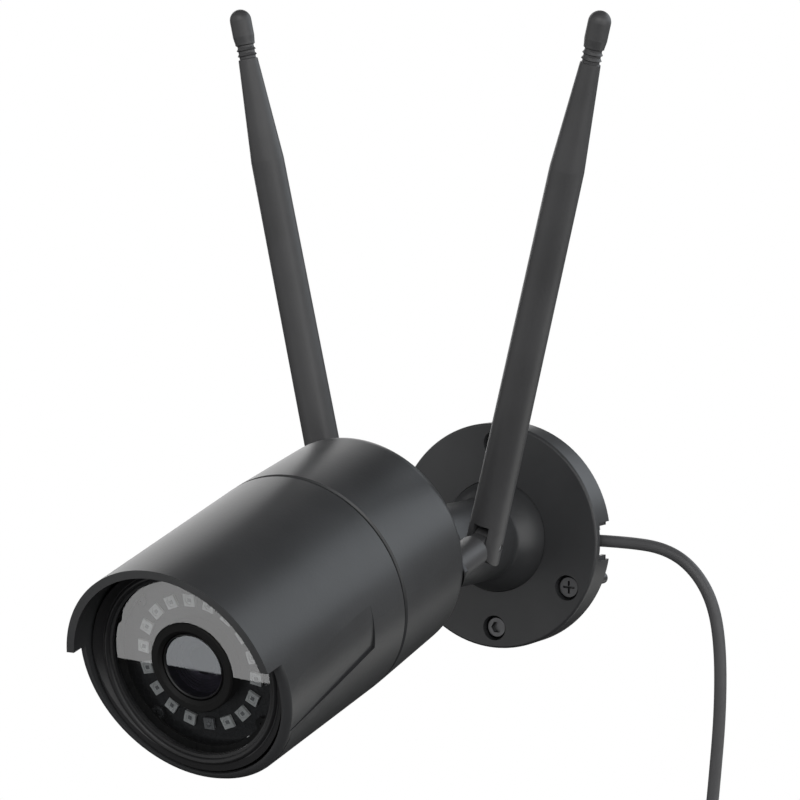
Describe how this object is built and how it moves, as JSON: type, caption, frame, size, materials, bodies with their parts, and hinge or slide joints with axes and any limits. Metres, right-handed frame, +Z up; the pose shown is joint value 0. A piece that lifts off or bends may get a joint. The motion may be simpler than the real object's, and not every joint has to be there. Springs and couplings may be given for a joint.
{
  "type": "security camera",
  "caption": "Wall-mounted bullet security camera with a hood, a ring of infrared lights, two folding aerials, a jointed arm on a round base and a power cord.",
  "frame": {"origin": "centre of the wall base's back face, on the wall plane", "axes": "+Z up, the wall is the plane y = 0 and the camera stands out along -Y, +X to the side where the cord leaves"},
  "size_m": [0.1255, 0.2132, 0.3314],
  "materials": {
    "shell_paint": "satin black paint on cast aluminium",
    "trim_plastic": "fine-grained black plastic",
    "aerial_plastic": "satin charcoal plastic",
    "window": "clear flat glass",
    "lens_glass": "coated glass",
    "filter_glass": "tinted filter glass",
    "rubber": "soft black rubber",
    "cord_jacket": "smooth dark jacket",
    "board_black": "black solder mask",
    "board_green": "green solder mask",
    "led_body": "pale emitter body with clear window",
    "sensor_body": "dark translucent plastic",
    "status_lens": "milky white",
    "black_metal": "black anodised",
    "chip": "moulded chip",
    "chassis_plastic": "moulded plastic",
    "spreader": "bare aluminium",
    "shield_can": "tinned steel",
    "copper_coil": "enamelled copper wire",
    "brass_part": "turned brass",
    "nut_black": "black plated steel",
    "screw_steel": "dark plated steel",
    "steel": "zinc plated steel"
  },
  "bodies": {
    "wall_base": {"base_cover": "shell_paint", "back_plate": "steel", "plate_screws": "steel", "wall_seal": "rubber", "wall_screws": "screw_steel", "clamp_screw": "screw_steel", "clamp_shoe": "steel", "cord_clip": "trim_plastic", "cord": "cord_jacket", "cord_tail": "cord_jacket", "cord_coil": "cord_jacket", "coil_tie": "cord_jacket", "socket_body": "trim_plastic", "socket_pin": "brass_part"},
    "swivel": {"friction_dome": "chassis_plastic"},
    "arm": {"arm": "shell_paint", "arm_cable": "cord_jacket"},
    "head": {"front_shell": "shell_paint", "seam_seal": "rubber", "rear_shell": "shell_paint", "chassis": "chassis_plastic", "shell_screws": "screw_steel", "bezel_ring": "trim_plastic", "window_glass": "window", "window_gasket": "rubber", "led_board": "board_black", "infrared_leds": "led_body", "light_sensor": "sensor_body", "status_led": "status_lens", "microphone": "rubber", "lens_shade": "rubber", "lens_barrel": "black_metal", "lens_elements": "lens_glass", "lens_holder": "trim_plastic", "filter_coil": "copper_coil", "sensor_board": "board_green", "image_sensor": "chip", "main_board": "board_green", "processor": "chip", "heat_spreader": "spreader", "radio_module": "shield_can", "board_standoffs": "brass_part", "board_screws": "black_metal", "elbow_bracket": "shell_paint", "elbow_bolt": "screw_steel", "aerial_jack_left": "brass_part", "aerial_nut_left": "nut_black", "aerial_jack_right": "brass_part", "aerial_nut_right": "nut_black"},
    "filter": {"filter_frame": "chassis_plastic", "filter_panes": "filter_glass"},
    "collar_left": {"aerial_collar_left": "aerial_plastic"},
    "mast_left": {"aerial_mast_left": "aerial_plastic", "aerial_pin_left": "steel", "aerial_element_left": "brass_part"},
    "collar_right": {"aerial_collar_right": "aerial_plastic"},
    "mast_right": {"aerial_mast_right": "aerial_plastic", "aerial_pin_right": "steel", "aerial_element_right": "brass_part"}
  },
  "joints": [
    {"name": "base_turn", "type": "hinge", "parent": "wall_base", "child": "swivel", "pos_m": [0, -0.0062, 0], "axis": [0, -1, 0], "range_deg": [-180, 180]},
    {"name": "ball_tilt", "type": "hinge", "parent": "swivel", "child": "arm", "pos_m": [0, -0.0062, 0], "axis": [-1, 0, 0], "range_deg": [-12, 12]},
    {"name": "elbow_tilt", "type": "hinge", "parent": "arm", "child": "head", "pos_m": [0, -0.0734, 0], "axis": [1, 0, 0], "range_deg": [-25, 55]},
    {"name": "filter_slide", "type": "slide", "parent": "head", "child": "filter", "axis": [-1, 0, 0], "range_m": [0, 0.0055]},
    {"name": "aerial_swivel_left", "type": "hinge", "parent": "head", "child": "collar_left", "pos_m": [-0.025, -0.06329, 0.00563], "axis": [0, -0.9677, -0.2521], "range_deg": [-12.5, 142.5]},
    {"name": "aerial_fold_left", "type": "hinge", "parent": "collar_left", "child": "mast_left", "pos_m": [-0.025, -0.06329, 0.00563], "axis": [-0.9914, 0.0329, -0.1263], "range_deg": [-6.3, 60]},
    {"name": "aerial_swivel_right", "type": "hinge", "parent": "head", "child": "collar_right", "pos_m": [0.025, -0.06329, 0.00563], "axis": [0, 0.9677, 0.2521], "range_deg": [-22.3, 132.7]},
    {"name": "aerial_fold_right", "type": "hinge", "parent": "collar_right", "child": "mast_right", "pos_m": [0.025, -0.06329, 0.00563], "axis": [-0.9548, -0.075, 0.2878], "range_deg": [-6.3, 60]}
  ]
}
